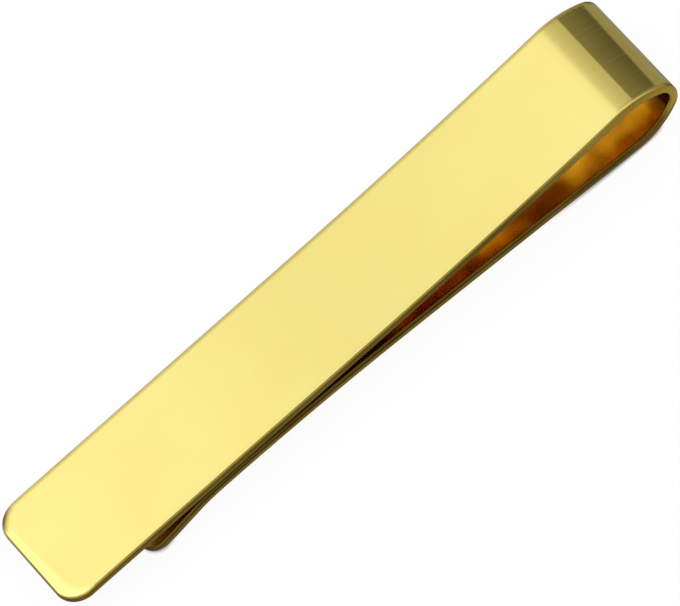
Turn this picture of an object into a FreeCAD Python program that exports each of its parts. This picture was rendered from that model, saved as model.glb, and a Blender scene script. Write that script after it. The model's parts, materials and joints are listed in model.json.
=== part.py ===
# Slide-on tie clip: one strip of springy brass, bent back on itself into a front bar and a spring leg.
# The strip is built as the flats and bends it is formed into, each a body, chained end to end.
# Frame in millimetres: the clip lies on its back, +X from the free end of the bar to the fold,
# +Y across the strip, +Z up, with the origin on the table under the middle of the clip.
import FreeCAD, Part
import Sketcher
import math
import os
from FreeCAD import Placement, Rotation, Vector

# Driving dimensions: name, value in millimetres or degrees, and what it measures.
# Every bend's radius is that of its hollow face.
SIZES = [
    ("overall_length", 54.0, "free end of the bar to the outside of the crown, along the bar"),
    ("strip_width", 10.0, "width of the strip"),
    ("strip_thickness", 0.7, "thickness of the strip"),
    ("edge_round", 0.2, "rounding of every polished edge"),
    ("bar_corner_radius", 1.9, "corners of the bar's free end"),
    ("shoulder_radius", 380.0, "slack bend that lifts the bar into the fold"),
    ("shoulder_angle", 3.5, "turn of the shoulder"),
    ("upper_fold_radius", 5.5, "easing bend above the crown"),
    ("upper_fold_angle", 35.0, "turn of the easing bend above the crown"),
    ("crown_radius", 0.8, "tight bend at the closed end"),
    ("rear_crown_angle", 52.0, "turn of the crown's back half"),
    ("lower_fold_radius", 4.9, "easing bend below the crown"),
    ("leg_length", 19.8, "straight root of the leg"),
    ("lip_bend_radius", 12.0, "bend that turns the tip out"),
    ("lip_angle", 10.0, "turn of the tip away from the bar"),
    ("lip_length", 4.5, "flat of the tip"),
    ("tip_corner_radius", 1.5, "corners of the tip"),
    ("tip_setback", 6.5, "free end of the bar to the end of the tip, along the bar"),
    ("grip_gap", 0.05, "room between the crest and the back of the bar at rest"),
]

# Values worked out from the driving dimensions, in order. Places are in the bar's own frame:
# x from the end of its flat towards the fold, z from its front face, upwards.
WORKED = [
    # Outer faces of the three bends of the fold.
    ("upper_fold_outer", "sizes.upper_fold_radius + sizes.strip_thickness"),
    ("crown_outer", "sizes.crown_radius + sizes.strip_thickness"),
    ("lower_fold_outer", "sizes.lower_fold_radius + sizes.strip_thickness"),
    # Fall of the strip where the easing bend meets the crown, and the crown's front half from there.
    ("crown_fall", "sizes.upper_fold_angle - sizes.shoulder_angle"),
    ("front_crown_angle", "90 - worked.crown_fall"),
    # Centres of the crown and of the bend below it.
    ("crown_x", "(sizes.shoulder_radius + worked.upper_fold_outer) * sin(sizes.shoulder_angle)"
                " + (worked.upper_fold_outer - worked.crown_outer) * sin(worked.crown_fall)"),
    ("crown_z", "sizes.shoulder_radius"
                " - (sizes.shoulder_radius + worked.upper_fold_outer) * cos(sizes.shoulder_angle)"
                " + (worked.upper_fold_outer - worked.crown_outer) * cos(worked.crown_fall)"),
    ("heel_x", "worked.crown_x"
               " - (worked.lower_fold_outer - worked.crown_outer) * cos(sizes.rear_crown_angle)"),
    ("heel_z", "worked.crown_z"
               " + (worked.lower_fold_outer - worked.crown_outer) * sin(sizes.rear_crown_angle)"),
    ("bar_flat", "sizes.overall_length - worked.crown_outer - worked.crown_x"),
    # The leg rises just far enough for its crest to lie the grip gap below the bar's back face.
    ("crest_reach", "worked.heel_x + worked.bar_flat - sizes.tip_setback"
                    " - sizes.lip_bend_radius * sin(sizes.lip_angle)"
                    " - sizes.lip_length * cos(sizes.lip_angle)"),
    ("leg_rise", "worked.lower_fold_outer - worked.heel_z"
                 " - 2 * sizes.strip_thickness - sizes.grip_gap"),
    ("leg_angle", "2 * atan(worked.leg_rise / (sizes.leg_length + worked.crest_reach)) / 1 deg"),
    ("crest_radius", "(worked.crest_reach - sizes.leg_length * cos(worked.leg_angle))"
                     " / sin(worked.leg_angle) - worked.lower_fold_outer"),
    ("lower_fold_angle", "90 - sizes.rear_crown_angle + worked.leg_angle"),
    # Centre of the rounded lower edge of the tip.
    ("tip_x", "sizes.tip_setback - worked.bar_flat"
              " + sizes.edge_round * (cos(sizes.lip_angle) - sin(sizes.lip_angle))"),
    ("tip_z", "-2 * sizes.strip_thickness - sizes.grip_gap"
              " - sizes.lip_bend_radius * (1 - cos(sizes.lip_angle))"
              " - sizes.lip_length * sin(sizes.lip_angle)"
              " + sizes.edge_round * (cos(sizes.lip_angle) + sin(sizes.lip_angle))"),
    # The clip lies on the bottom of its fold and on its tip, which tilts the bar up towards the fold.
    ("tip_to_heel", "sqrt((worked.heel_x - worked.tip_x)^2 + (worked.heel_z - worked.tip_z)^2)"),
    ("rest_tilt", "asin((worked.lower_fold_outer - sizes.edge_round) / worked.tip_to_heel) / 1 deg"
                  " - atan2(worked.heel_z - worked.tip_z; worked.heel_x - worked.tip_x) / 1 deg"),
    # Half way between the tilted bar's free end and the crown, and the table's height.
    ("middle", "(worked.crown_x * cos(worked.rest_tilt) - worked.crown_z * sin(worked.rest_tilt)"
               " + worked.crown_outer - (worked.bar_flat - sizes.edge_round) * cos(worked.rest_tilt)"
               " + sizes.edge_round * sin(worked.rest_tilt) - sizes.edge_round) / 2"),
    ("table", "worked.heel_x * sin(worked.rest_tilt) + worked.heel_z * cos(worked.rest_tilt)"
              " - worked.lower_fold_outer"),
]

doc = FreeCAD.newDocument("tie_clip")
sheet = doc.addObject("Spreadsheet::Sheet", "sizes")
for row, (alias, value, meaning) in enumerate(SIZES, start=1):
    sheet.set(f"A{row}", meaning)
    sheet.set(f"B{row}", str(value))
    sheet.setAlias(f"B{row}", alias)
doc.recompute()

worked = doc.addObject("App::VarSet", "worked")
for name, formula in WORKED:
    worked.addProperty("App::PropertyFloat", name)
    worked.setExpression(name, formula)
    doc.recompute()

pieces = []


def value_of(formula):
    """The present value of a driving dimension or of a worked one, such as sizes.strip_width."""
    owner, name = formula.split(".")
    return float(getattr(doc.getObject(owner), name))


def origin_plane(body, role):
    """One of the body's own origin planes, such as YZ_Plane."""
    return next(plane for plane in body.Origin.OriginFeatures if plane.Role == role)


def new_sketch(body, name, role):
    """An empty sketch on one of the body's origin planes."""
    sketch = body.newObject("Sketcher::SketchObject", name)
    sketch.AttachmentSupport = (origin_plane(body, role), [""])
    sketch.MapMode = "FlatFace"
    return sketch


def line(sketch, start, end, guide=False):
    """A straight edge of a sketch, or a guide line."""
    segment = Part.LineSegment(Vector(*start, 0), Vector(*end, 0))
    return sketch.addGeometry(segment, guide)


def quarter(sketch, centre, radius, start):
    """A rounded corner of a sketch, a quarter turn from the start angle in degrees."""
    circle = Part.Circle(Vector(*centre, 0), Vector(0, 0, 1), radius)
    arc = Part.ArcOfCircle(circle, math.radians(start), math.radians(start + 90))
    return sketch.addGeometry(arc, False)


def bind(sketch, kind, places, name, formula):
    """A named dimension of a sketch that follows a formula."""
    index = sketch.addConstraint(Sketcher.Constraint(kind, *places, value_of(formula)))
    sketch.renameConstraint(index, name)
    sketch.setExpression(f"Constraints.{name}", formula)


def rule(sketch, kind, *places):
    """A dimensionless constraint of a sketch."""
    sketch.addConstraint(Sketcher.Constraint(kind, *places))


# How a sketch numbers the two ends of an edge, and its own axes.
START_INDEX, END_INDEX = 1, 2
ACROSS_AXIS_INDEX, UP_AXIS_INDEX = -1, -2


def strip_section(body):
    """The strip's section with rounded edges: outer face on the sketch's axis, strip below it."""
    sketch = new_sketch(body, body.Name + "_section", "YZ_Plane")
    half = value_of("sizes.strip_width") / 2
    deep = value_of("sizes.strip_thickness")
    soft = value_of("sizes.edge_round")
    outer = line(sketch, (soft - half, 0), (half - soft, 0))
    right_top = quarter(sketch, (half - soft, -soft), soft, 0)
    right = line(sketch, (half, -soft), (half, soft - deep))
    right_low = quarter(sketch, (half - soft, soft - deep), soft, 270)
    inner = line(sketch, (half - soft, -deep), (soft - half, -deep))
    left_low = quarter(sketch, (soft - half, soft - deep), soft, 180)
    left = line(sketch, (-half, soft - deep), (-half, -soft))
    left_top = quarter(sketch, (soft - half, -soft), soft, 90)
    rule(sketch, "Tangent", outer, END_INDEX, right_top, END_INDEX)
    rule(sketch, "Tangent", right_top, START_INDEX, right, START_INDEX)
    rule(sketch, "Tangent", right, END_INDEX, right_low, END_INDEX)
    rule(sketch, "Tangent", right_low, START_INDEX, inner, START_INDEX)
    rule(sketch, "Tangent", inner, END_INDEX, left_low, END_INDEX)
    rule(sketch, "Tangent", left_low, START_INDEX, left, START_INDEX)
    rule(sketch, "Tangent", left, END_INDEX, left_top, END_INDEX)
    rule(sketch, "Tangent", left_top, START_INDEX, outer, START_INDEX)
    for corner in (right_low, left_low, left_top):
        rule(sketch, "Equal", right_top, corner)
    rule(sketch, "Horizontal", inner)
    rule(sketch, "Vertical", right)
    rule(sketch, "Vertical", left)
    rule(sketch, "Symmetric", outer, START_INDEX, outer, END_INDEX, UP_AXIS_INDEX)
    rule(sketch, "PointOnObject", outer, START_INDEX, ACROSS_AXIS_INDEX)
    bind(sketch, "Radius", (right_top,), "soft_edge", "sizes.edge_round")
    bind(sketch, "DistanceX", (left, START_INDEX, right, START_INDEX), "wide", "sizes.strip_width")
    bind(sketch, "DistanceY", (inner, START_INDEX, outer, START_INDEX), "deep", "sizes.strip_thickness")
    return sketch


def end_outline(body, length, corner_radius):
    """The plan of a flat stretch with a free end at x = 0, whose two corners are rounded."""
    sketch = new_sketch(body, body.Name + "_outline", "XY_Plane")
    half = value_of("sizes.strip_width") / 2
    reach = value_of(length)
    turn = value_of(corner_radius)
    near = line(sketch, (turn, -half), (reach, -half))
    joint = line(sketch, (reach, -half), (reach, half))
    far = line(sketch, (reach, half), (turn, half))
    far_corner = quarter(sketch, (turn, half - turn), turn, 90)
    free = line(sketch, (0, half - turn), (0, turn - half))
    near_corner = quarter(sketch, (turn, turn - half), turn, 180)
    rule(sketch, "Coincident", near, END_INDEX, joint, START_INDEX)
    rule(sketch, "Coincident", joint, END_INDEX, far, START_INDEX)
    rule(sketch, "Tangent", far, END_INDEX, far_corner, START_INDEX)
    rule(sketch, "Tangent", far_corner, END_INDEX, free, START_INDEX)
    rule(sketch, "Tangent", free, END_INDEX, near_corner, START_INDEX)
    rule(sketch, "Tangent", near_corner, END_INDEX, near, START_INDEX)
    rule(sketch, "Equal", far_corner, near_corner)
    rule(sketch, "Horizontal", near)
    rule(sketch, "Horizontal", far)
    rule(sketch, "Vertical", free)
    rule(sketch, "Symmetric", joint, START_INDEX, joint, END_INDEX, ACROSS_AXIS_INDEX)
    rule(sketch, "PointOnObject", free, START_INDEX, UP_AXIS_INDEX)
    bind(sketch, "Radius", (far_corner,), "corner", corner_radius)
    bind(sketch, "DistanceX", (free, END_INDEX, joint, START_INDEX), "reach", length)
    bind(sketch, "DistanceY", (joint, START_INDEX, joint, END_INDEX), "wide", "sizes.strip_width")
    return sketch


def new_stretch(name):
    """A body for one stretch of the strip. It starts at its own origin and runs along +X,
    with the strip's outer face at z = 0 and its inner face below."""
    body = doc.addObject("PartDesign::Body", name)
    body.Label = name
    pieces.append(body)
    return body


def flat_end(name, length, corner_radius, free_end_first):
    """A flat stretch that ends the strip, at its start or at its end."""
    body = new_stretch(name)
    sketch = end_outline(body, length, corner_radius)
    if not free_end_first:
        sketch.AttachmentOffset = Placement(Vector(), Rotation(Vector(0, 0, 1), 180))
        sketch.setExpression("AttachmentOffset.Base.x", length)
    plate = body.newObject("PartDesign::Pad", name + "_plate")
    plate.Profile = sketch
    plate.Reversed = True
    plate.setExpression("Length", "sizes.strip_thickness")
    doc.recompute()
    joint_x = value_of(length) if free_end_first else 0
    rims = []
    for number, edge in enumerate(plate.Shape.Edges, start=1):
        box = edge.BoundBox
        level = box.ZLength < Part.Precision.confusion()
        at_joint = max(abs(box.XMin - joint_x), abs(box.XMax - joint_x)) < Part.Precision.confusion()
        if level and not at_joint:
            rims.append(f"Edge{number}")
    soft_rim = body.newObject("PartDesign::Fillet", name + "_soft_rim")
    soft_rim.Base = (plate, rims)
    soft_rim.setExpression("Radius", "sizes.edge_round")
    return body


def straight(name, length):
    """A straight stretch between two bends."""
    body = new_stretch(name)
    run = body.newObject("PartDesign::Pad", name + "_run")
    run.Profile = strip_section(body)
    run.setExpression("Length", length)
    return body


def bend(name, radius, angle, inwards):
    """A bent stretch. The radius is that of its outer face, and an inward bend turns it down."""
    body = new_stretch(name)
    section = strip_section(body)
    half = value_of("sizes.strip_width") / 2
    level = -value_of(radius) if inwards else value_of(radius)
    axis = line(section, (-half, level), (half, level), guide=True)
    rule(section, "Symmetric", axis, START_INDEX, axis, END_INDEX, UP_AXIS_INDEX)
    axis_end = (axis, START_INDEX)
    sketch_origin = (ACROSS_AXIS_INDEX, START_INDEX)
    low_to_high = axis_end + sketch_origin if inwards else sketch_origin + axis_end
    bind(section, "DistanceY", low_to_high, "outer_radius", radius)
    bind(section, "DistanceX", (axis, START_INDEX, axis, END_INDEX), "axis_reach", "sizes.strip_width")
    turned = body.newObject("PartDesign::Revolution", name + "_turn")
    turned.Profile = section
    turned.ReferenceAxis = (section, ["Axis0"])
    turned.Reversed = not inwards
    turned.setExpression("Angle", angle)
    return body


def place(body, formula):
    """Puts a stretch where a formula says."""
    body.setExpression("Placement", formula)


def step(run, rise, turn):
    """Formula of the move from the start of a stretch to its end, which is turned about the width."""
    return f"placement(vector({run}; 0; {rise}); rotation(vector(0; 1; 0); {turn}))"


def after_flat(body, length):
    """Formula of the place where a flat stretch ends."""
    return f"{body.Name}.Placement * {step(length, 0, 0)}"


def after_bend(body, radius, angle, inwards):
    """Formula of the place where a bend ends."""
    way = "-" if inwards else ""
    back = "" if inwards else "-"
    run = f"{radius} * sin({angle})"
    rise = f"{way}{radius} * (1 - cos({angle}))"
    return f"{body.Name}.Placement * {step(run, rise, back + angle)}"


# The strip from the free end of the bar, round the fold, to the tip of the leg.
front_bar = flat_end("front_bar", "worked.bar_flat", "sizes.bar_corner_radius", free_end_first=True)
place(front_bar, step("-worked.bar_flat * cos(worked.rest_tilt) - worked.middle",
                      "-worked.bar_flat * sin(worked.rest_tilt) - worked.table",
                      "-worked.rest_tilt"))
here = after_flat(front_bar, "worked.bar_flat")

BENDS_OF_THE_FOLD = [
    ("front_shoulder", "sizes.shoulder_radius", "sizes.shoulder_angle", False),
    ("upper_fold", "worked.upper_fold_outer", "sizes.upper_fold_angle", True),
    ("front_crown", "worked.crown_outer", "worked.front_crown_angle", True),
    ("rear_crown", "worked.crown_outer", "sizes.rear_crown_angle", True),
    ("lower_fold", "worked.lower_fold_outer", "worked.lower_fold_angle", True),
]
for name, radius, angle, inwards in BENDS_OF_THE_FOLD:
    stretch = bend(name, radius, angle, inwards)
    place(stretch, here)
    here = after_bend(stretch, radius, angle, inwards)

back_leg = straight("back_leg", "sizes.leg_length")
place(back_leg, here)
here = after_flat(back_leg, "sizes.leg_length")

BENDS_OF_THE_LEG = [
    ("grip_crest", "worked.crest_radius", "worked.leg_angle"),
    ("lip_bend", "sizes.lip_bend_radius", "sizes.lip_angle"),
]
for name, radius, angle in BENDS_OF_THE_LEG:
    stretch = bend(name, radius, angle, inwards=False)
    place(stretch, here)
    here = after_bend(stretch, radius, angle, inwards=False)

lead_in_lip = flat_end("lead_in_lip", "sizes.lip_length", "sizes.tip_corner_radius", free_end_first=False)
place(lead_in_lip, here)
doc.recompute()

# Nothing is written unless every object is sound.
for thing in doc.Objects:
    if "Invalid" in thing.State or "Error" in thing.State:
        raise RuntimeError(f"{thing.Label} did not build: {thing.State}")
for body in pieces:
    shape = body.Shape
    if shape.isNull() or not shape.isValid() or len(shape.Solids) != 1:
        raise RuntimeError(f"{body.Label} is not one sound solid")

os.makedirs("parts", exist_ok=True)
for body in pieces:
    body.Shape.exportStep(os.path.join("parts", body.Label + ".step"))
    box = body.Shape.BoundBox
    print(f"{body.Label}: {body.Shape.Volume:.3f} mm3,"
          f" x {box.XMin:.3f} to {box.XMax:.3f}, z {box.ZMin:.3f} to {box.ZMax:.3f}")

# Places that the joints and the resting face refer to.
for name in ("leg_angle", "crest_radius", "rest_tilt", "bar_flat", "lower_fold_angle"):
    print(f"{name}: {getattr(worked, name):.4f}")
for label in ("rear_crown", "back_leg", "grip_crest", "lip_bend"):
    base = doc.getObject(label).Placement.Base
    print(f"{label} starts at x {base.x:.4f}, z {base.z:.4f}")
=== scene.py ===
"""Dresses the tie clip: one polished, gold-plated strip with its fold and spring leg, on a white table."""

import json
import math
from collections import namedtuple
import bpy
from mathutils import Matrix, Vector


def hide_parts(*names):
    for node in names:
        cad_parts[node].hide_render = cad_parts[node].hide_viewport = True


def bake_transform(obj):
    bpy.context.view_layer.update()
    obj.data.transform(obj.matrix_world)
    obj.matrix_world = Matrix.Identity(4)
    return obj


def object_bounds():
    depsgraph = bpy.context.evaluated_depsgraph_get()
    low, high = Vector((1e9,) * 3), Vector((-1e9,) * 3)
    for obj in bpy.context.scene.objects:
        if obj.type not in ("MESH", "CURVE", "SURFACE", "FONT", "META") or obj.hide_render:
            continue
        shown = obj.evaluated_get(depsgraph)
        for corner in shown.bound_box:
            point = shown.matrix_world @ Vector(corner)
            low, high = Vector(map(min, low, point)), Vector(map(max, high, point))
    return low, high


bl_info = {
    "name": "Slide-on tie clip",
    "version": (1, 0, 0),
    "blender": (4, 5, 0),
    "location": "3D View > Sidebar > Tie Clip",
    "description": "Builds the polished strip of a slide-on tie clip and the studio round it",
    "category": "Object",
}

import bmesh
import bpy
from bpy.props import FloatProperty, FloatVectorProperty, PointerProperty
from mathutils import Matrix, Vector

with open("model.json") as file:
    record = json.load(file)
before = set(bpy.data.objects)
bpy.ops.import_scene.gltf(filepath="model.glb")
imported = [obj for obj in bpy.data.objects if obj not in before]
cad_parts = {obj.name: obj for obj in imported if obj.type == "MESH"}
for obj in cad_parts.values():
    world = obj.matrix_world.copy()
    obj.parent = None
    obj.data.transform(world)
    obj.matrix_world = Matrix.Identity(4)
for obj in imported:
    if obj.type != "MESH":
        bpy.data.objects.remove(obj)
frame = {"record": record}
CAD_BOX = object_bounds()
BODIES = frame["record"]["behaviour"]["bodies"]
MOUNTS = {mount["name"]: mount for mount in frame["record"]["mounts"]}

MM = 0.001
RIGHT_ANGLE = math.pi / 2

# How finely the strip is divided.
COLUMNS_ACROSS = 12
CORNER_STEPS = 18
EDGE_STEPS = 5
FLAT_STEP = 0.5 * MM
BEND_STEP_ANGLE = math.radians(1.5)
EDGE_SUPPORT = 0.03 * MM
LEAST_STEP = 0.05 * MM

# Where a Mix node keeps its two colours, its result, and its two plain numbers.
MIX_A = 6
MIX_B = 7
MIX_RESULT = 2
MIX_FLOAT_A = 2
MIX_FLOAT_B = 3

# How much of a noise, of a wear or of the painted shade shows: none up to the first number, all of it from
# the second one on.
LINE_NOISE = {"From Min": 0.35, "From Max": 0.7}
TONE_NOISE = {"From Min": 0.4, "From Max": 0.75}
PATCH_NOISE = {"From Min": 0.35, "From Max": 0.65}
EDGE_NOISE = {"From Min": 0.3, "From Max": 0.6}
PAINTED_SHADE_SHOWS = {"From Min": 0.35, "From Max": 0.75}

# How strong the patterns are: warm patches outside, brown ones inside that are painted reflections and
# shade, and an edge's least dullness.
WARM_SHARE = 0.3
PATCH_SHARE = 0.35
EDGE_LEAST = 0.9

# Depth of the polishing lines, and how much of it bends the reflections.
LINE_DEPTH = 0.02 * MM
LINE_STRENGTH = 0.02

# How deep in the strip the outer finish gives way to the inside's, as shares of its thickness.
INSIDE_FROM = 0.7
INSIDE_TO = 0.95

# Painted reflections and shade of the plate inside, as (millimetres along the leg from its root, 0 for pale
# to
# 1 for brown).
INSIDE_SHADES = (
    (-9.0, 0.3),
    (-6.5, 0.9),
    (-1.8, 0.9),
    (-0.5, 0.6),
    (0.8, 0.55),
    (2.8, 0.65),
    (4.5, 0.68),
    (6.1, 0.85),
    (7.7, 0.65),
    (10.9, 0.25),
    (13.3, 0.55),
    (22.0, 0.65),
    (36.0, 0.3),
    (41.0, 0.1),
)

# How metallic the places with painted shade still are: it lies on the brass as a dull dark coat.
PAINTED_SHADE_METALLIC = 0.9

# How far from the middle of the tight bend its inside gets painted shade, in lengths of that bend, and how
# soon the painted shade fades out towards there.
CROWN_SHADE_REACH = 1.46
CROWN_SHADE_FADE = 0.85

# Share of an edge's rounding that keeps its bright plate, and how soon the edge colour, dull plate darkened
# further as painted shade, takes over after it.
EDGE_KEPT = 0.3
EDGE_GAIN = 2.5

# How sharply the rubbing and painted shade of the far edge end towards the middle of the free end, and how
# much further in they reach round the far corner.
FAR_SIDE_POWER = 6
CORNER_RUB_AND_SHADE_SPREAD = 1.6

# Studio sizes. The cards on the table lie a hair's breadth over it and over each other.
MOST_BOUNCES = 16
TABLE_LEVEL = -0.05 * MM
ROUND_LEVEL = -0.04 * MM
NEAR_LEVEL = -0.02 * MM
TABLE_HALF = 1.5
NEAR_MARGIN = 22 * MM
FAR_MARGIN = 60 * MM
FAR_BRIGHTNESS = 1
FOLD_BRIGHTNESS = 0.95
ROUND_MARGIN = 450 * MM
CONTACT_REACH = 0.6 * MM
CONTACT_DARK = 0.3
CONTACT_LIGHT = 0.6
CONTACT_LEAST = 0.25
WALL_LEFT = -0.5
WALL_RIGHT = 0.62
WALL_HEIGHT = 0.9
CARD_GAP = 1 * MM
KEY_RIGHT = -0.060
KEY_LOW = 0.33
ARCH_STEPS = 24
ARCH_HALF_WIDTH = 0.032
ARCH_SPARE_STEPS = 3
FLAG_HEIGHT = 0.5
FLAG_HALF_WIDTH = 0.07
FLAG_NEAR = -0.42
FLAG_FAR = -0.01

# Brightness of what the polish reflects, as (place in metres, brightness), from one end to the other.
WALL_SHADES = (
    (-0.150, 1.16),
    (-0.036, 1.07),
    (-0.016, 1.015),
)
ARCH_SHADES = (
    (-0.036, 1.07),
    (-0.028, 1.02),
    (-0.016, 1.015),
    (-0.008, 0.945),
    (0.000, 0.92),
    (0.050, 0.68),
    (0.120, 0.56),
    (0.184, 0.50),
    (0.188, 0.20),
    (0.375, 0.09),
    (0.379, 0.29),
)
ARCH_TINT = (1.0, 0.9, 0.55)
# The bar and leg cards below are a painted shadow of the table: darker in front of the bar and close to the
# clip.
BAR_SHADES = (
    (0.014, 0.36),
    (0.024, 0.95),
)
LEG_SHADES = (
    (-0.0062, 0.80),
    (-0.0058, 0.50),
    (-0.0054, 0.34),
    (-0.0050, 0.30),
)
KEY_SHADES = (
    (-0.170, 1.90),
    (-0.060, 1.08),
)

Stretch = namedtuple("Stretch", "label start length radius")


def linear(hex_colour):
    """Turns an sRGB hex colour into the linear values that shaders use."""
    channels = [int(hex_colour[i:i + 2], 16) / 255 for i in (1, 3, 5)]
    return tuple(c / 12.92 if c <= 0.04045 else ((c + 0.055) / 1.055) ** 2.4 for c in channels)


def clamp(value):
    """Keeps a share between 0 and 1."""
    return min(1, max(0, value))


def length(name, description, millimetres):
    """A length that a user can change."""
    return FloatProperty(
        name=name, description=description, default=millimetres * MM, unit="LENGTH", subtype="DISTANCE")


def angle(name, description, degrees):
    """An angle that a user can change."""
    return FloatProperty(
        name=name, description=description, default=math.radians(degrees), unit="ROTATION", subtype="ANGLE")


def share(name, description, value):
    """A plain number from 0 to 1 that a user can change."""
    return FloatProperty(name=name, description=description, default=value, min=0, max=1, subtype="FACTOR")


def colour(name, description, hex_colour):
    """A colour that a user can change."""
    return FloatVectorProperty(
        name=name, description=description, default=linear(hex_colour),
        size=3, min=0, max=1, subtype="COLOR")


class StripSizes(bpy.types.PropertyGroup):
    """The strip as it is cut, and its bends in order from the free end of the bar to the tip of the leg."""

    overall_length: length("Overall length", "From the free end of the bar to the back of the fold", 54)
    width: length("Width", "Width of the strip", 10)
    thickness: length("Thickness", "Gauge of the strip", 0.7)
    edge_round: length("Edge round", "Radius of the tumbled edges", 0.2)
    bar_corner: length("Bar corner", "Corner radius at the free end of the bar", 1.9)
    tip_corner: length("Tip corner", "Corner radius at the tip of the leg", 1.5)
    shoulder_radius: length("Shoulder radius", "Slack bend that lifts the bar towards the fold", 380)
    shoulder_angle: angle("Shoulder angle", "How far the shoulder lifts", 3.5)
    upper_fold_radius: length("Upper fold radius", "Inside radius of the easing bend over the fold", 5.5)
    upper_fold_angle: angle("Upper fold angle", "How far the upper fold turns", 35)
    crown_radius: length("Crown radius", "Inside radius of the tight bend at the closed end", 0.8)
    rear_crown_angle: angle("Rear crown angle", "How far the crown turns past its outermost line", 52)
    lower_fold_radius: length("Lower fold radius", "Inside radius of the easing bend under the fold", 4.9)
    leg_length: length("Leg length", "Straight root of the spring leg", 19.8)
    lip_bend_radius: length("Lip bend radius", "Bend that turns the tip away from the bar", 12)
    lip_angle: angle("Lip angle", "How far the tip turns out", 10)
    lip_length: length("Lip length", "Straight end of the tip", 4.5)
    tip_setback: length("Tip setback", "How far the tip stays behind the free end of the bar", 6.5)
    grip_gap: length("Grip gap", "Gap between the bar and the crest of the leg at rest", 0.05)
    buffed_reach: length("Buffed reach", "How far in from the free end the wheel eased the face", 1.0)
    buffed_slope: angle("Buffed slope", "Slope of the eased face at the end", 9)
    buffed_skew: share("Buffed skew", "How much further in the wheel reached on the near side", 0.4)


class PlateFinish(bpy.types.PropertyGroup):
    """The gold plate, its wear, and the shade and reflections painted into its colour."""

    plate: colour("Plate", "Bright gold plate", "#FCEC92")
    warm_plate: colour("Warm plate", "Where the plate is a little thicker and warmer", "#F8E080")
    inside: colour("Inside", "Plate inside the fold, where no buffing wheel reaches", "#F8E49A")
    # The colour below is painted into the inside as shade and dim reflections.
    inside_shade: colour("Deep inside", "Browner plate further in along the leg", "#A67838")
    # The edge colour is dull plate, darkened further as painted shade.
    edge: colour("Edge", "Thin plate over the sheared and tumbled edges", "#8A7022")
    # The colour below is painted shade deep in the tight bend and on the leg's inner edges, and a painted
    # dark reflection round the far corner.
    tarnish: colour("Tarnish", "Browned brass in the fold, on inner edges and at a corner", "#2C1806")
    # The tint below colours what the places with painted shade mirror: a painted reflection.
    painted_shade_sheen: colour("Tarnish sheen", "What browned brass mirrors at a glancing angle", "#A07C48")
    # The settings below spread the edge colour: wear, and painted shade.
    rub_and_shade_reach: length("Rubbed reach", "How far in from the rounded edges the plate is rubbed", 0.27)
    bar_rub_and_shade: share("Bar rub", "How far the plate is rubbed off the bar's straight edges", 0.05)
    far_rub_and_shade: share("Far rub", "How far the plate is rubbed off the bar's far edge", 0.7)
    fold_rub_and_shade: share("Fold rub", "How far the plate is dull along the edges of the fold and the leg", 1.0)
    corner_rub_and_shade: share("Corner rub", "How far the plate is dull round the far free corner", 1.0)
    end_rub_and_shade: share("End rub", "How far the plate is rubbed off along the free end", 0.25)
    # Painted dark reflection round the far corner.
    corner_painted_shade: share("Corner tarnish", "How far the brass has browned round the far free corner", 0.55)
    # Painted shade inside the tip.
    lip_painted_shade: share("Lip rub", "How far cloth has rubbed the plate inside the tip", 0.6)
    # Painted shade inside the tight bend and on the leg's inner edges.
    crown_painted_shade: share("Crown tarnish", "How far the inside of the tight bend has browned", 1.0)
    leg_painted_shade: share("Leg tarnish", "How far the inner edges of the leg have browned", 0.65)
    line_spacing: length("Line spacing", "Spacing of the polishing lines", 0.12)
    line_length: length("Line length", "Length of the polishing lines", 7)
    tone_size: length("Tone size", "Size of the patches of warmer plate", 6)
    patch_size: length("Patch size", "Size of the patches inside the fold", 2.6)
    # Painted shade along the edges of the inside.
    inside_shade_reach: length("Brown reach", "How far in from its edges the plate inside is browner", 2.2)
    inside_shade_share: share("Brown share", "How much browner the plate inside is at its edges", 0.9)
    smooth: share("Smoothest", "Roughness of the best polished places", 0.04)
    rough: share("Roughest", "Roughness of the polishing lines", 0.08)
    inside_rough: share("Inside roughness", "Roughness of the satin inside of the fold", 0.12)
    edge_rough: share("Edge roughness", "Roughness of the tumbled edges", 0.22)


class StudioSettings(bpy.types.PropertyGroup):
    """Where the clip is seen from, and what its polish reflects."""

    view_tilt: angle("View tilt", "Angle between the line of sight and straight down on the bar", 36.78)
    view_roll: angle("View roll", "How far the bar rises to the right in the picture", 41.45)
    view_distance: length("View distance", "From the camera to the free end of the bar", 1030)
    aim_along: length("Aim along", "Middle of the picture along the bar", 27.40)
    aim_across: length("Aim across", "Middle of the picture across the bar", -0.79)
    lens: FloatProperty(name="Lens", description="Focal length in millimetres", default=806.3, unit="CAMERA")
    wall_distance: length("Wall distance", "From the middle of the clip to the back wall", 300)
    floor_glow: share("Floor glow", "Part of the table's white that shadows leave alone", 0.93)
    round_shade: share("Round shade", "Brightness of the grey card round the clip", 0.29)
    flag_shade: share("Flag shade", "Brightness of the narrow flag over the camera's side", 0.4)


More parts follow.
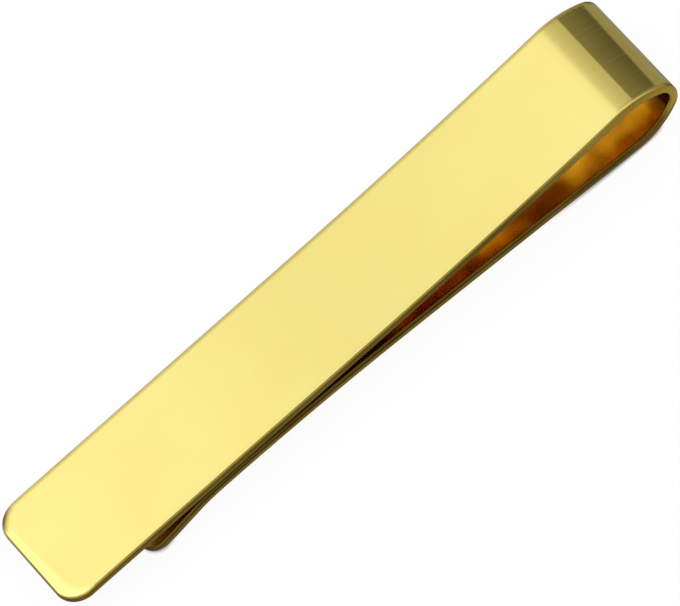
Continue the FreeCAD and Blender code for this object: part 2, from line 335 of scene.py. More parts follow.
def strip_stretches(sizes):
    """Flats and bends along the outer face in order; a bend's radius is positive where it turns inwards."""
    upper = sizes.upper_fold_radius + sizes.thickness
    crown = sizes.crown_radius + sizes.thickness
    lower = sizes.lower_fold_radius + sizes.thickness
    crown_fall = sizes.upper_fold_angle - sizes.shoulder_angle
    crown_angle = RIGHT_ANGLE - crown_fall + sizes.rear_crown_angle

    # Centres of the crown and the lower fold, from the end of the flat bar, along it and up from its face.
    lifted = sizes.shoulder_radius + upper
    crown_x = lifted * math.sin(sizes.shoulder_angle) + (upper - crown) * math.sin(crown_fall)
    crown_z = (sizes.shoulder_radius - lifted * math.cos(sizes.shoulder_angle)
               + (upper - crown) * math.cos(crown_fall))
    heel_x = crown_x - (lower - crown) * math.cos(sizes.rear_crown_angle)
    heel_z = crown_z + (lower - crown) * math.sin(sizes.rear_crown_angle)
    bar_length = sizes.overall_length - crown - crown_x

    # The leg rises until its crest lies along the back of the bar, one grip gap away.
    crest_reach = (heel_x + bar_length - sizes.tip_setback
                   - sizes.lip_bend_radius * math.sin(sizes.lip_angle)
                   - sizes.lip_length * math.cos(sizes.lip_angle))
    leg_rise = lower - heel_z - 2 * sizes.thickness - sizes.grip_gap
    leg_angle = 2 * math.atan(leg_rise / (sizes.leg_length + crest_reach))
    crest_radius = (crest_reach - sizes.leg_length * math.cos(leg_angle)) / math.sin(leg_angle) - lower
    lower_angle = RIGHT_ANGLE - sizes.rear_crown_angle + leg_angle

    stretches = []
    start = 0
    for label, stretch_length, radius in (
        ("Bar", bar_length, 0),
        ("Shoulder", sizes.shoulder_radius * sizes.shoulder_angle, -sizes.shoulder_radius),
        ("Upper fold", upper * sizes.upper_fold_angle, upper),
        ("Crown", crown * crown_angle, crown),
        ("Lower fold", lower * lower_angle, lower),
        ("Leg", sizes.leg_length, 0),
        ("Crest", crest_radius * leg_angle, -crest_radius),
        ("Lip bend", sizes.lip_bend_radius * sizes.lip_angle, -sizes.lip_bend_radius),
        ("Lip", sizes.lip_length, 0),
    ):
        stretches.append(Stretch(label, start, stretch_length, radius))
        start += stretch_length
    return stretches


def bar_axes(bar_length):
    """Middle of the free end on the bar's front face, and the directions along the bar and out of it."""
    mount = MOUNTS["front_face"]
    out = Vector(mount["axis"]).normalized()
    along = Vector((out.z, 0, -out.x))
    free_end = Vector(mount["pos_m"]) - along * bar_length / 2
    return free_end, along, out


def add_node(tree, kind, inputs=None, **settings):
    """Adds a node, sets it up, and links or fills its inputs."""
    node = tree.nodes.new(kind)
    for name, value in settings.items():
        setattr(node, name, value)
    for key, value in (inputs or {}).items():
        if isinstance(value, bpy.types.NodeSocket):
            tree.links.new(value, node.inputs[key])
        else:
            node.inputs[key].default_value = value
    return node


def plain_material(name):
    """An empty material and its node tree."""
    material = bpy.data.materials.new(name)
    material.use_nodes = True
    material.node_tree.nodes.clear()
    return material, material.node_tree


def row_places(stretches):
    """Places along the strip that get a row of points: close together in the tight bends."""
    places = []
    for stretch in stretches:
        step = FLAT_STEP
        if stretch.radius:
            step = min(FLAT_STEP, abs(stretch.radius) * BEND_STEP_ANGLE)
        count = math.ceil(stretch.length / step)
        places += [stretch.start + stretch.length * i / count for i in range(count)]
    last = stretches[-1]
    return places + [last.start + last.length]


def edge_profile(sizes, rub_and_shade_reach):
    """Steps round the strip's edge from front face to back, as (inset from the outline, depth)."""
    turns = [RIGHT_ANGLE * i / EDGE_STEPS for i in range(EDGE_STEPS + 1)]
    front = [(sizes.edge_round * (1 - math.sin(a)), sizes.edge_round * (1 - math.cos(a))) for a in turns]
    back = [(inset, sizes.thickness - depth) for inset, depth in reversed(front)]
    support = sizes.edge_round + EDGE_SUPPORT
    insets = [support, support + rub_and_shade_reach, support + CORNER_RUB_AND_SHADE_SPREAD * rub_and_shade_reach]
    front_face = [(inset, 0) for inset in reversed(insets)]
    back_face = [(inset, sizes.thickness) for inset in insets]
    return front_face + front + back + back_face


def outline_rows(sizes, corner, inset, reaches):
    """Rows of the strip's outline as (distance from the free end, half width), drawn in by inset."""
    half = sizes.width / 2
    rows = []
    for i in range(CORNER_STEPS + 1):
        turn = RIGHT_ANGLE * i / CORNER_STEPS
        rows.append((
            corner - (corner - inset) * math.cos(turn),
            half - corner + (corner - inset) * math.sin(turn),
        ))
    return rows + [(reach, half - inset) for reach in reaches]


def buffed_drop(sizes, corner, reach, across):
    """How far the polishing wheel lowered the face there, near the free end."""
    past_corner = max(0, abs(across) - sizes.width / 2 + corner)
    outline = corner - math.sqrt(max(0, corner ** 2 - past_corner ** 2))
    buffed = sizes.buffed_reach * (1 - sizes.buffed_skew * across / (sizes.width / 2))
    short = max(0, buffed - max(0, reach - outline))
    return math.tan(sizes.buffed_slope) * short ** 2 / (2 * buffed)


def corner_share(sizes, corner, reach, across):
    """How far a point is round the free end's far corner: 0 at both ends of its arc, 1 in the middle."""
    past_side = max(0, across - sizes.width / 2 + corner)
    past_end = max(0, corner - reach)
    if past_side * past_end == 0:
        return 0
    return math.sqrt(2 * past_side * past_end / (past_side ** 2 + past_end ** 2))


def end_share(corner, reach):
    """How near a point is to the free end: 1 at the end, 0 where its rounded corners start."""
    return max(0, 1 - reach / corner)


def outer_wear_and_shade(sizes, finish, corner, reach, across, inset, in_fold):
    """Share of edge colour, for wear and painted shade, and of painted dark reflection, at a point of the
    outer face.
    """
    round_corner = corner_share(sizes, corner, reach, across)
    rub_and_shade_reach = finish.rub_and_shade_reach * (1 + (CORNER_RUB_AND_SHADE_SPREAD - 1) * round_corner)
    fade = clamp(1 - (inset - sizes.edge_round - EDGE_SUPPORT) / rub_and_shade_reach)
    far_side = max(0, 2 * across / sizes.width) ** FAR_SIDE_POWER
    bar_rub_and_shade = finish.bar_rub_and_shade + (finish.far_rub_and_shade - finish.bar_rub_and_shade) * far_side
    side_rub_and_shade = bar_rub_and_shade + (finish.fold_rub_and_shade - bar_rub_and_shade) * in_fold
    end_rub_and_shade = finish.end_rub_and_shade * end_share(corner, reach)
    rub_and_shade = max(side_rub_and_shade, end_rub_and_shade, finish.corner_rub_and_shade * round_corner)
    return fade * rub_and_shade, fade * finish.corner_painted_shade * round_corner


def inner_wear_and_shade(finish, crown, lip_bend, place, over_edge):
    """Share of edge colour painted as shade inside the tip, and of painted shade inside the tight bend and
    on the leg's inner edges, at a point of the inner face.
    """
    rub_and_shade = finish.lip_painted_shade * clamp((place - lip_bend.start) / lip_bend.length)
    from_crown = (place - crown.start - crown.length / 2) / crown.length
    in_crown = clamp((CROWN_SHADE_REACH - abs(from_crown)) * CROWN_SHADE_FADE)
    crown_inner_shade = finish.crown_painted_shade * in_crown * (1 - over_edge)
    leg_edge_shade = finish.leg_painted_shade * clamp(from_crown) * over_edge
    return rub_and_shade, max(crown_inner_shade, leg_edge_shade)


def flat_blank(name, sizes, finish, corner, reaches, place_of):
    """The closed flat strip of one piece, rounded at its free end and square at the other."""
    blank = bmesh.new()
    tarnish = blank.verts.layers.float.new("tarnish")
    flat_place = blank.verts.layers.float_vector.new("flat_place")
    rim = blank.verts.layers.float.new("rim")
    stretches = {stretch.label: stretch for stretch in strip_stretches(sizes)}
    fold = stretches["Upper fold"]

    def point(reach, across, inset, depth):
        drop = buffed_drop(sizes, corner, reach, across) * (1 - depth / sizes.thickness)
        vertex = blank.verts.new((place_of(reach), across, -depth - drop))
        # Each point remembers its place on the flat strip, its share of edge colour for wear and painted
        # shade, and its share of painted dark, for the finish.
        vertex[flat_place] = vertex.co
        place = vertex.co.x
        in_fold = clamp((place - fold.start) / fold.length)
        outside = depth < sizes.thickness / 2
        kept = EDGE_KEPT * (1 - in_fold) * (1 - end_share(corner, reach)) if outside else 0
        over_edge = clamp(EDGE_GAIN * (1 - inset / sizes.edge_round - kept))
        if outside:
            rub_and_shade, dark_share = outer_wear_and_shade(sizes, finish, corner, reach, across, inset, in_fold)
        else:
            rub_and_shade, dark_share = inner_wear_and_shade(finish, stretches["Crown"], stretches["Lip bend"], place, over_edge)
        vertex[rim] = max(over_edge, rub_and_shade)
        vertex[tarnish] = dark_share
        return vertex

    def faces_between(first, second):
        for a, b, c, d in zip(first, first[1:], second[1:], second):
            blank.faces.new((a, b, c, d))

    # Rings round the edge: along the near side to the free end, across it, and back along the far side.
    profile = edge_profile(sizes, finish.rub_and_shade_reach)
    rings = []
    for inset, depth in profile:
        rows = outline_rows(sizes, corner, inset, reaches)
        end_reach, end_half = rows[0]
        plan = [(reach, -half) for reach, half in reversed(rows)]
        plan += [(end_reach, end_half * (2 * j / COLUMNS_ACROSS - 1)) for j in range(1, COLUMNS_ACROSS)]
        plan += rows
        rings.append([point(reach, across, inset, depth) for reach, across in plan])
    for ring, next_ring in zip(rings, rings[1:]):
        faces_between(ring, next_ring)

    # Front and back faces: rows of points between the innermost rings' two sides.
    square_end = []
    for (inset, depth), ring in ((profile[0], rings[0]), (profile[-1], rings[-1])):
        rows = outline_rows(sizes, corner, inset, reaches)
        last = len(rows) - 1
        row_before = ring[last:last + COLUMNS_ACROSS + 1]
        for i, (reach, half) in enumerate(rows[1:], 1):
            across = [half * (2 * j / COLUMNS_ACROSS - 1) for j in range(1, COLUMNS_ACROSS)]
            inner = [point(reach, y, inset, depth) for y in across]
            row = [ring[last - i], *inner, ring[last + COLUMNS_ACROSS + i]]
            faces_between(row_before, row)
            row_before = row
        square_end.append(row_before)

    # The square end, where the piece meets the next one: flat, with sharp edges.
    front_row, back_row = square_end
    near_side = [ring[0] for ring in rings]
    far_side = [ring[-1] for ring in reversed(rings)]
    cap = blank.faces.new(near_side + back_row[1:-1] + far_side + front_row[-2:0:-1])
    for face in blank.faces:
        face.smooth = face != cap
    for edge in cap.edges:
        edge.smooth = False
    bmesh.ops.recalc_face_normals(blank, faces=blank.faces)
    mesh = bpy.data.meshes.new(name)
    blank.to_mesh(mesh)
    blank.free()
    piece = bpy.data.objects.new(name, mesh)
    bpy.context.scene.collection.objects.link(piece)
    return piece


def bend_group():
    """Node group that bends the strip across its width: everything past the start follows the arc."""
    group = bpy.data.node_groups.new("Bend across the strip", "GeometryNodeTree")
    group.interface.new_socket(name="Position", in_out="INPUT", socket_type="NodeSocketVector")
    for name in ("Place", "Start", "Length", "Radius"):
        group.interface.new_socket(name=name, in_out="INPUT", socket_type="NodeSocketFloat")
    group.interface.new_socket(name="Position", in_out="OUTPUT", socket_type="NodeSocketVector")
    given = add_node(group, "NodeGroupInput").outputs

    past = add_node(group, "ShaderNodeMath", {0: given["Place"], 1: given["Start"]}, operation="SUBTRACT")
    reach = add_node(group, "ShaderNodeClamp", {"Value": past.outputs[0], "Min": 0, "Max": given["Length"]})
    turn = add_node(group, "ShaderNodeMath", {0: reach.outputs[0], 1: given["Radius"]}, operation="DIVIDE")

    # The arc's own point, written with the half angle so that slack bends stay exact.
    sine = add_node(group, "ShaderNodeMath", {0: turn.outputs[0]}, operation="SINE")
    arc_x = add_node(
        group, "ShaderNodeMath", {0: sine.outputs[0], 1: given["Radius"], 2: given["Start"]},
        operation="MULTIPLY_ADD")
    half_turn = add_node(group, "ShaderNodeMath", {0: turn.outputs[0], 1: 0.5}, operation="MULTIPLY")
    half_sine = add_node(group, "ShaderNodeMath", {0: half_turn.outputs[0]}, operation="SINE")
    square = add_node(group, "ShaderNodeMath", {0: half_sine.outputs[0], 1: 2}, operation="POWER")
    diameter = add_node(group, "ShaderNodeMath", {0: given["Radius"], 1: -2}, operation="MULTIPLY")
    arc_z = add_node(
        group, "ShaderNodeMath", {0: square.outputs[0], 1: diameter.outputs[0]}, operation="MULTIPLY")
    arc = add_node(group, "ShaderNodeCombineXYZ", {"X": arc_x.outputs[0], "Z": arc_z.outputs[0]})

    # What lies off that point turns with the arc.
    flat_x = add_node(group, "ShaderNodeMath", {0: given["Start"], 1: reach.outputs[0]}, operation="ADD")
    flat = add_node(group, "ShaderNodeCombineXYZ", {"X": flat_x.outputs[0]})
    offset = add_node(
        group, "ShaderNodeVectorMath", {0: given["Position"], 1: flat.outputs[0]}, operation="SUBTRACT")
    turned = add_node(
        group, "ShaderNodeVectorRotate", {"Vector": offset.outputs[0], "Angle": turn.outputs[0]},
        rotation_type="Y_AXIS")
    bent = add_node(
        group, "ShaderNodeVectorMath", {0: arc.outputs[0], 1: turned.outputs[0]}, operation="ADD")
    add_node(group, "NodeGroupOutput", {"Position": bent.outputs[0]})
    return group


def strip_tree(bends):
    """Node tree that bends a flat blank into the clip and lays it in place."""
    tree = bpy.data.node_groups.new("Bent strip", "GeometryNodeTree")
    tree.is_modifier = True
    tree.interface.new_socket(name="Geometry", in_out="INPUT", socket_type="NodeSocketGeometry")
    for bend in bends:
        for size in ("start", "length", "radius"):
            tree.interface.new_socket(
                name=f"{bend.label} {size}", in_out="INPUT", socket_type="NodeSocketFloat")
    tree.interface.new_socket(name="Rest tilt", in_out="INPUT", socket_type="NodeSocketFloat")
    tree.interface.new_socket(name="Free end", in_out="INPUT", socket_type="NodeSocketVector")
    tree.interface.new_socket(name="Finish", in_out="INPUT", socket_type="NodeSocketMaterial")
    tree.interface.new_socket(name="Geometry", in_out="OUTPUT", socket_type="NodeSocketGeometry")
    given = add_node(tree, "NodeGroupInput").outputs

    # The last bend comes first, so that each bend carries the ones after it.
    position = add_node(tree, "GeometryNodeInputPosition").outputs[0]
    place = add_node(tree, "ShaderNodeSeparateXYZ", {0: position}).outputs["X"]
    group = bend_group()
    for bend in reversed(bends):
        position = add_node(
            tree, "GeometryNodeGroup",
            {
                "Position": position,
                "Place": place,
                "Start": given[f"{bend.label} start"],
                "Length": given[f"{bend.label} length"],
                "Radius": given[f"{bend.label} radius"],
            },
            node_tree=group).outputs[0]
    tilted = add_node(
        tree, "ShaderNodeVectorRotate", {"Vector": position, "Angle": given["Rest tilt"]},
        rotation_type="Y_AXIS")
    laid = add_node(
        tree, "ShaderNodeVectorMath", {0: tilted.outputs[0], 1: given["Free end"]}, operation="ADD")
    moved = add_node(
        tree, "GeometryNodeSetPosition", {"Geometry": given["Geometry"], "Position": laid.outputs[0]})
    real = add_node(tree, "GeometryNodeRealizeInstances", {"Geometry": moved.outputs[0]})
    finished = add_node(
        tree, "GeometryNodeSetMaterial", {"Geometry": real.outputs[0], "Material": given["Finish"]})
    add_node(tree, "NodeGroupOutput", {"Geometry": finished.outputs[0]})
    return tree


def bend_blank(piece, stretches, finish):
    """Bends a flat blank into its part of the clip, as a plain mesh."""
    bends = [stretch for stretch in stretches if stretch.radius]
    free_end, along, _ = bar_axes(stretches[0].length)
    values = {"Rest tilt": -math.atan2(along.z, along.x), "Free end": free_end, "Finish": finish}
    for bend in bends:
        values[f"{bend.label} start"] = bend.start
        values[f"{bend.label} length"] = bend.length
        values[f"{bend.label} radius"] = bend.radius
    tree = bpy.data.node_groups.get("Bent strip") or strip_tree(bends)
    modifier = piece.modifiers.new("Bends", "NODES")
    modifier.node_group = tree
    for socket in tree.interface.items_tree:
        if socket.in_out == "INPUT" and socket.name in values:
            modifier[socket.identifier] = values[socket.name]
    depsgraph = bpy.context.evaluated_depsgraph_get()
    bent = bpy.data.meshes.new_from_object(
        piece.evaluated_get(depsgraph), preserve_all_data_layers=True, depsgraph=depsgraph)
    piece.modifiers.remove(modifier)
    flat = piece.data
    piece.data = bent
    bpy.data.meshes.remove(flat)
    bent.name = piece.name


def shade_ramp(tree, place, shades, dark_tint=(1, 1, 1)):
    """Ramp of greys through (place, brightness) steps, which takes on a tint where it is dark."""
    first, last = shades[0][0], shades[-1][0]
    ramp_place = add_node(tree, "ShaderNodeMapRange", {"Value": place, "From Min": first, "From Max": last})
    ramp = add_node(tree, "ShaderNodeValToRGB", {"Fac": ramp_place.outputs[0]})
    stops = ramp.color_ramp.elements
    while len(stops) < len(shades):
        stops.new(0)
    for stop, (place_along, brightness) in zip(stops, shades):
        stop.position = (place_along - first) / (last - first)
        dark = max(0, 1 - brightness)
        stop.color = (*[brightness * (1 - dark * (1 - tint)) for tint in dark_tint], 1)
    return ramp.outputs["Color"]


def buffing_lines(tree, finish, place):
    """Roughness and bump of the fine lines along the strip, which waver its reflections a little."""
    # Real polishing lines are finer than a pixel, so these are drawn as coarse as they need to be to show.
    stretched = add_node(
        tree, "ShaderNodeMapping",
        {"Vector": place,
         "Scale": (1 / finish.line_length, 1 / finish.line_spacing, 1 / finish.line_spacing)})
    lines = add_node(tree, "ShaderNodeTexNoise", {"Vector": stretched.outputs[0], "Scale": 1, "Detail": 3})
    roughness = add_node(
        tree, "ShaderNodeMapRange",
        {"Value": lines.outputs[0], **LINE_NOISE, "To Min": finish.smooth, "To Max": finish.rough})
    bump = add_node(
        tree, "ShaderNodeBump",
        {"Height": lines.outputs[0], "Strength": LINE_STRENGTH, "Distance": LINE_DEPTH})
    return roughness.outputs[0], bump.outputs[0]


def bright_plate(tree, finish, drift):
    """Colour of the polished plate, whose tone drifts a little from place to place."""
    warmth = add_node(
        tree, "ShaderNodeMapRange", {"Value": drift, **TONE_NOISE, "To Min": 0, "To Max": WARM_SHARE})
    plate = add_node(
        tree, "ShaderNodeMix",
        {"Factor": warmth.outputs[0], MIX_A: (*finish.plate, 1), MIX_B: (*finish.warm_plate, 1)},
        data_type="RGBA")
    return plate.outputs[MIX_RESULT]


def satin_inside(tree, finish, sizes, place):
    """Colour of the plate inside the fold, where no wheel reaches, painted with reflections and shade: a
    ramp along the leg, patches, and darker towards its edges.
    """
    along_across = add_node(tree, "ShaderNodeSeparateXYZ", {0: place}).outputs
    leg_start = next(stretch.start for stretch in strip_stretches(sizes) if stretch.label == "Leg")
    tones = [(leg_start + reach * MM, tone) for reach, tone in INSIDE_SHADES]
    leg_tone = shade_ramp(tree, along_across["X"], tones)
    from_middle = add_node(tree, "ShaderNodeMath", {0: along_across["Y"]}, operation="ABSOLUTE")
    edge_tone = add_node(
        tree, "ShaderNodeMapRange",
        {"Value": from_middle.outputs[0],
         "From Min": sizes.width / 2 - finish.inside_shade_reach, "From Max": sizes.width / 2,
         "To Min": -finish.inside_shade_share / 2, "To Max": finish.inside_shade_share / 2})
    patches = add_node(
        tree, "ShaderNodeTexNoise", {"Vector": place, "Scale": 1 / finish.patch_size, "Detail": 1})
    patch_tone = add_node(
        tree, "ShaderNodeMapRange",
        {"Value": patches.outputs[0], **PATCH_NOISE, "To Min": -PATCH_SHARE, "To Max": PATCH_SHARE})
    uneven_tone = add_node(
        tree, "ShaderNodeMath", {0: edge_tone.outputs[0], 1: patch_tone.outputs[0]}, operation="ADD")
    inside_darkness = add_node(
        tree, "ShaderNodeMath", {0: leg_tone, 1: uneven_tone.outputs[0]}, operation="ADD", use_clamp=True)
    inside = add_node(
        tree, "ShaderNodeMix",
        {"Factor": inside_darkness.outputs[0], MIX_A: (*finish.inside, 1), MIX_B: (*finish.inside_shade, 1)},
        data_type="RGBA")
    return inside.outputs[MIX_RESULT]


def polished_gold_plate(finish, sizes):
    """Gold plate on buffed brass strip: a pale yellow mirror with faint lines along it and dull, rubbed
    edges.

    Shade and dark reflections are painted into its colour inside the fold, on its edges and at the far
    corner.
    """
    name = "polished_gold_plate"
    if name in bpy.data.materials:
        return bpy.data.materials[name]
    material, tree = plain_material(name)
    place = add_node(tree, "ShaderNodeAttribute", attribute_name="flat_place").outputs["Vector"]
    roughness, bump = buffing_lines(tree, finish, place)
    drift = add_node(
        tree, "ShaderNodeTexNoise", {"Vector": place, "Scale": 1 / finish.tone_size, "Detail": 2}).outputs[0]

    # Outside the wheel leaves a mirror, and inside the fold the plate stays satin, with reflections and
    # shade painted into its colour.
    depth = add_node(tree, "ShaderNodeSeparateXYZ", {0: place}).outputs["Z"]
    inside = add_node(
        tree, "ShaderNodeMapRange",
        {"Value": depth,
         "From Min": INSIDE_FROM * -sizes.thickness, "From Max": INSIDE_TO * -sizes.thickness})
    face_colour = add_node(
        tree, "ShaderNodeMix",
        {"Factor": inside.outputs[0], MIX_A: bright_plate(tree, finish, drift),
         MIX_B: satin_inside(tree, finish, sizes, place)},
        data_type="RGBA")
    face_rough = add_node(
        tree, "ShaderNodeMix",
        {"Factor": inside.outputs[0], MIX_FLOAT_A: roughness, MIX_FLOAT_B: finish.inside_rough})

    # The strip's edges are sheared and only tumbled: the plate on them is thin, dull and uneven, and their
    # colour is darkened further as painted shade.
    rim = add_node(tree, "ShaderNodeAttribute", attribute_name="rim").outputs["Fac"]
    uneven = add_node(
        tree, "ShaderNodeMapRange", {"Value": drift, **EDGE_NOISE, "To Min": EDGE_LEAST, "To Max": 1})
    dull = add_node(tree, "ShaderNodeMath", {0: rim, 1: uneven.outputs[0]}, operation="MULTIPLY")

    # Painted shade and dark reflection: darker, a little less metallic, and mirroring warmer at a glancing
    # angle.
    tarnish = add_node(tree, "ShaderNodeAttribute", attribute_name="tarnish").outputs["Fac"]
    shaded = add_node(tree, "ShaderNodeMapRange", {"Value": tarnish, **PAINTED_SHADE_SHOWS}).outputs[0]
    metallic = add_node(
        tree, "ShaderNodeMapRange", {"Value": shaded, "To Min": 1, "To Max": PAINTED_SHADE_METALLIC})
    sheen = add_node(
        tree, "ShaderNodeMix",
        {"Factor": shaded, MIX_A: (1, 1, 1, 1), MIX_B: (*finish.painted_shade_sheen, 1)},
        data_type="RGBA")
    wear_and_shade_colour = add_node(
        tree, "ShaderNodeMix",
        {"Factor": shaded, MIX_A: (*finish.edge, 1), MIX_B: (*finish.tarnish, 1)},
        data_type="RGBA")
    wear_and_shade = add_node(tree, "ShaderNodeMath", {0: dull.outputs[0], 1: shaded}, operation="MAXIMUM")
    base_colour = add_node(
        tree, "ShaderNodeMix",
        {"Factor": wear_and_shade.outputs[0], MIX_A: face_colour.outputs[MIX_RESULT],
         MIX_B: wear_and_shade_colour.outputs[MIX_RESULT]},
        data_type="RGBA")
    base_rough = add_node(
        tree, "ShaderNodeMix",
        {"Factor": wear_and_shade.outputs[0], MIX_FLOAT_A: face_rough.outputs[0], MIX_FLOAT_B: finish.edge_rough})
    shader = add_node(
        tree, "ShaderNodeBsdfPrincipled",
        {
            "Base Color": base_colour.outputs[MIX_RESULT],
            "Metallic": metallic.outputs[0],
            "Roughness": base_rough.outputs[0],
            "Specular Tint": sheen.outputs[MIX_RESULT],
            "Normal": bump,
        })
    add_node(tree, "ShaderNodeOutputMaterial", {"Surface": shader.outputs[0]})
    return material


def make_strip_piece(name, sizes, finish, corner, first, last, from_tip=False):
    """One piece of the strip, from stretch first to stretch last, with its free end rounded."""
    stretches = strip_stretches(sizes)
    labels = [stretch.label for stretch in stretches]
    own = stretches[labels.index(first):labels.index(last) + 1]
    places = row_places(own)
    begin, end = places[0], places[-1]

    def place_of(reach):
        return end - reach if from_tip else begin + reach

    reaches = sorted(end - place if from_tip else place - begin for place in places)
    reaches = [reach for reach in reaches if reach > corner + LEAST_STEP]
    piece = flat_blank(name, sizes, finish, corner, reaches, place_of)
    bend_blank(piece, stretches, polished_gold_plate(finish, sizes))
    return piece


def card(name, corners, material):
    """A flat studio card that only reflections see."""
    mesh = bpy.data.meshes.new(name)
    mesh.from_pydata(corners, [], [range(len(corners))])
    mesh.materials.append(material)
    piece = bpy.data.objects.new(name, mesh)
    piece.visible_camera = False
    piece.visible_diffuse = False
    piece.visible_shadow = False
    bpy.context.scene.collection.objects.link(piece)
    return piece


def rectangle(low, high, height):
    """Corners of a level rectangle."""
    (left, near), (right, far) = low, high
    return [(left, near, height), (right, near, height), (right, far, height), (left, far, height)]


def upright(left, right, y, bottom, top):
    """Corners of an upright rectangle that faces the clip from behind it."""
    return [(left, y, bottom), (right, y, bottom), (right, y, top), (left, y, top)]


def white_table(studio):
    """Seamless white sweep. Nearly all its white is its own glow, so only the clip's contact darkens it."""
    material, tree = plain_material("white_table")
    contact = add_node(tree, "ShaderNodeAmbientOcclusion", {"Distance": CONTACT_REACH})
    strength = add_node(
        tree, "ShaderNodeMapRange",
        {"Value": contact.outputs["AO"], "From Min": CONTACT_DARK, "From Max": CONTACT_LIGHT,
         "To Min": CONTACT_LEAST, "To Max": studio.floor_glow})
    glow = add_node(tree, "ShaderNodeEmission", {"Strength": strength.outputs[0]})
    matt = add_node(tree, "ShaderNodeBsdfDiffuse", {"Color": (*[1 - studio.floor_glow] * 3, 1)})
    both = add_node(tree, "ShaderNodeAddShader", {0: glow.outputs[0], 1: matt.outputs[0]})
    add_node(tree, "ShaderNodeOutputMaterial", {"Surface": both.outputs[0]})
    return material


def matt_card(name, shade):
    """Matt grey card, which takes the clip's shadow."""
    material, tree = plain_material(name)
    matt = add_node(tree, "ShaderNodeBsdfDiffuse", {"Color": (shade, shade, shade, 1)})
    add_node(tree, "ShaderNodeOutputMaterial", {"Surface": matt.outputs[0]})
    return material


def glowing_panel(name, brightness):
    """Evenly lit panel."""
    material, tree = plain_material(name)
    glow = add_node(tree, "ShaderNodeEmission", {"Strength": brightness})
    add_node(tree, "ShaderNodeOutputMaterial", {"Surface": glow.outputs[0]})
    return material


def shaded_card(name, axis, shades, dark_tint=(1, 1, 1)):
    """Lit card whose brightness changes along one axis."""
    material, tree = plain_material(name)
    place = add_node(tree, "ShaderNodeTexCoord").outputs["Object"]
    along = add_node(tree, "ShaderNodeSeparateXYZ", {0: place}).outputs[axis]
    light = shade_ramp(tree, along, shades, dark_tint)
    glow = add_node(tree, "ShaderNodeEmission", {"Color": light, "Strength": 1})
    add_node(tree, "ShaderNodeOutputMaterial", {"Surface": glow.outputs[0]})
    return material


def fold_arch(sizes, studio, wall_y):
    """Outline of the arch on the back wall that the camera sees in the fold, as the strip turns down."""
    _, along, out = bar_axes(strip_stretches(sizes)[0].length)
    _, high = CAD_BOX
    centre = Vector((high.x, wall_y, high.z))
    radius = wall_y / math.tan(studio.view_tilt)
    steps = range(-ARCH_SPARE_STEPS, ARCH_STEPS + ARCH_SPARE_STEPS + 1)
    turns = [RIGHT_ANGLE * i / ARCH_STEPS for i in steps]
    rays = [along * math.sin(turn) + out * math.cos(turn) for turn in turns]
    outer = [centre + ray * (radius + ARCH_HALF_WIDTH) for ray in rays]
    inner = [centre + ray * (radius - ARCH_HALF_WIDTH) for ray in rays]
    return outer + inner[::-1]


def white_world():
    """Even white light from all sides."""
    world = bpy.data.worlds.new("white_studio")
    world.use_nodes = True
    world.node_tree.nodes.clear()
    light = add_node(world.node_tree, "ShaderNodeBackground", {"Color": (1, 1, 1, 1), "Strength": 1})
    add_node(world.node_tree, "ShaderNodeOutputWorld", {"Surface": light.outputs[0]})
    return world


def make_table(studio):
    """The white table that the camera sees, and the grey card that the clip reflects instead of it."""
    table = card("table", rectangle((-TABLE_HALF, -TABLE_HALF), (TABLE_HALF, TABLE_HALF), TABLE_LEVEL),
                 white_table(studio))
    table.visible_camera = True
    table.visible_diffuse = True

    low, high = CAD_BOX
    round_low = (low.x - ROUND_MARGIN, low.y - ROUND_MARGIN)
    round_high = (high.x + ROUND_MARGIN, high.y + ROUND_MARGIN)
    card("round_card", rectangle(round_low, round_high, ROUND_LEVEL),
         matt_card("grey_card", studio.round_shade))


def make_near_cards():
    """Cards close to the clip, which its edges, its fold and the inside of its leg reflect.

    The bar and leg cards glow with a painted shadow of the table, darker in front of the bar and close to
    the clip.
    """
    low, high = CAD_BOX
    left = low.x - NEAR_MARGIN
    right = high.x + NEAR_MARGIN
    near = low.y - NEAR_MARGIN
    far = high.y + FAR_MARGIN
    leg_line = LEG_SHADES[0][0]
    for name, near_corner, far_corner, material in (
        ("bar_card", (left, near), (high.x, leg_line), shaded_card("bar_shade", "X", BAR_SHADES)),
        ("leg_card", (left, leg_line), (high.x, high.y), shaded_card("leg_shade", "Y", LEG_SHADES)),
        ("fold_card", (high.x, near), (right, low.y), glowing_panel("fold_shade", FOLD_BRIGHTNESS)),
        ("far_card", (left, high.y), (high.x, far), glowing_panel("far_shade", FAR_BRIGHTNESS)),
    ):
        card(name, rectangle(near_corner, far_corner, NEAR_LEVEL), material)


def make_far_cards(sizes, studio):
    """The flag overhead, and the back wall with the panel and the arch that the outer faces reflect."""
    card("flag", rectangle((-FLAG_HALF_WIDTH, FLAG_NEAR), (FLAG_HALF_WIDTH, FLAG_FAR), FLAG_HEIGHT),
         glowing_panel("flag_shade", studio.flag_shade))
    wall_y = studio.wall_distance
    card("back_wall", upright(WALL_LEFT, WALL_RIGHT, wall_y, 0, WALL_HEIGHT),
         shaded_card("wall_shade", "X", WALL_SHADES))
    card("key_panel", upright(WALL_LEFT, KEY_RIGHT, wall_y - CARD_GAP, KEY_LOW, WALL_HEIGHT),
         shaded_card("key_shade", "X", KEY_SHADES))
    card("fold_arch", fold_arch(sizes, studio, wall_y - CARD_GAP),
         shaded_card("arch_shade", "X", ARCH_SHADES, ARCH_TINT))


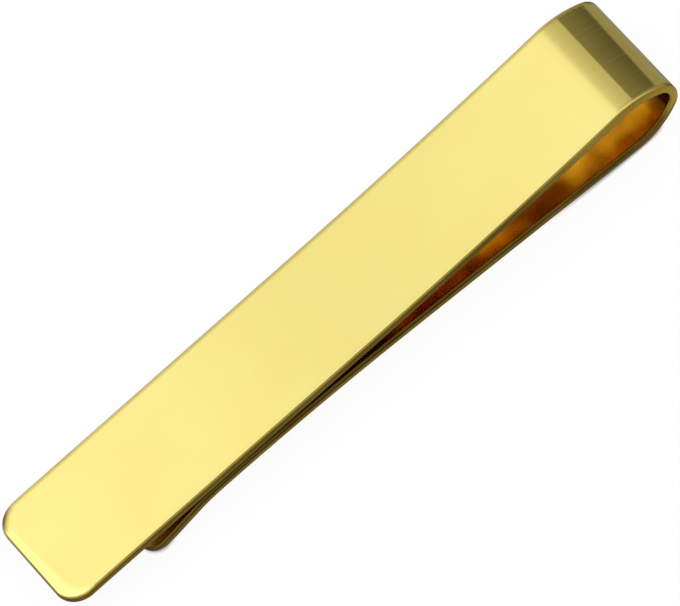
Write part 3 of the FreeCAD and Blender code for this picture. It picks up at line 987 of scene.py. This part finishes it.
def make_camera(sizes, studio):
    """Camera at the photograph's place, looking down on the bar from its near side."""
    free_end, along, out = bar_axes(strip_stretches(sizes)[0].length)
    across = out.cross(along)
    place = (free_end - across * studio.view_distance * math.sin(studio.view_tilt)
             + out * studio.view_distance * math.cos(studio.view_tilt))
    aim = free_end + along * studio.aim_along + across * studio.aim_across
    back = (place - aim).normalized()
    level = (along - back * along.dot(back)).normalized()
    plumb = back.cross(level)
    right = level * math.cos(studio.view_roll) - plumb * math.sin(studio.view_roll)
    up = level * math.sin(studio.view_roll) + plumb * math.cos(studio.view_roll)
    camera = bpy.data.objects.new("camera", bpy.data.cameras.new("camera"))
    camera.data.lens = studio.lens
    camera.matrix_world = Matrix.Translation(place) @ Matrix((right, up, back)).transposed().to_4x4()
    bpy.context.scene.collection.objects.link(camera)
    bpy.context.scene.camera = camera


class TIECLIP_OT_front_strip(bpy.types.Operator):
    """Builds the front bar with its shoulder and the whole fold"""

    bl_idname = "tieclip.front_strip"
    bl_label = "Front Bar and Fold"

    def execute(self, context):
        sizes = context.scene.tieclip_strip
        piece = make_strip_piece(
            "front_bar_and_fold", sizes, context.scene.tieclip_finish, sizes.bar_corner, "Bar", "Lower fold")
        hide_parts(*BODIES["front"], *BODIES["heel"])

        free_end, _, out = bar_axes(strip_stretches(sizes)[0].length)
        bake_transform(piece)
        return {"FINISHED"}


class TIECLIP_OT_spring_leg(bpy.types.Operator):
    """Builds the spring leg with its crest and turned-out tip"""

    bl_idname = "tieclip.spring_leg"
    bl_label = "Spring Leg"

    def execute(self, context):
        sizes = context.scene.tieclip_strip
        piece = make_strip_piece(
            "spring_leg", sizes, context.scene.tieclip_finish, sizes.tip_corner, "Leg", "Lip", from_tip=True)
        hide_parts(*BODIES["leg"])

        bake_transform(piece)
        return {"FINISHED"}


class TIECLIP_OT_studio(bpy.types.Operator):
    """Sets up the table, the cards, the light and the camera"""

    bl_idname = "tieclip.studio"
    bl_label = "Studio"

    def execute(self, context):
        scene = context.scene
        sizes = scene.tieclip_strip
        studio = scene.tieclip_studio
        scene.view_settings.view_transform = "Standard"
        scene.cycles.max_bounces = MOST_BOUNCES
        scene.cycles.glossy_bounces = MOST_BOUNCES
        scene.world = white_world()
        make_table(studio)
        make_near_cards()
        make_far_cards(sizes, studio)
        make_camera(sizes, studio)
        return {"FINISHED"}


class TIECLIP_PT_sidebar(bpy.types.Panel):
    """Lists the clip's pieces and the studio"""

    bl_idname = "TIECLIP_PT_sidebar"
    bl_label = "Tie Clip"
    bl_space_type = "VIEW_3D"
    bl_region_type = "UI"
    bl_category = "Tie Clip"

    def draw(self, context):
        for group, operators in (
            (context.scene.tieclip_strip, (TIECLIP_OT_front_strip, TIECLIP_OT_spring_leg)),
            (context.scene.tieclip_finish, ()),
            (context.scene.tieclip_studio, (TIECLIP_OT_studio,)),
        ):
            box = self.layout.box()
            for name in group.bl_rna.properties.keys():
                if name not in ("rna_type", "name"):
                    box.prop(group, name)
            for operator in operators:
                box.operator(operator.bl_idname)


CLASSES = (
    StripSizes,
    PlateFinish,
    StudioSettings,
    TIECLIP_OT_front_strip,
    TIECLIP_OT_spring_leg,
    TIECLIP_OT_studio,
    TIECLIP_PT_sidebar,
)


def register():
    for each in CLASSES:
        bpy.utils.register_class(each)
    bpy.types.Scene.tieclip_strip = PointerProperty(type=StripSizes)
    bpy.types.Scene.tieclip_finish = PointerProperty(type=PlateFinish)
    bpy.types.Scene.tieclip_studio = PointerProperty(type=StudioSettings)


def unregister():
    del bpy.types.Scene.tieclip_studio
    del bpy.types.Scene.tieclip_finish
    del bpy.types.Scene.tieclip_strip
    for each in reversed(CLASSES):
        bpy.utils.unregister_class(each)


def main():
    register()
    bpy.ops.tieclip.studio()
    bpy.ops.tieclip.front_strip()
    bpy.ops.tieclip.spring_leg()


if __name__ == "__main__":
    main()
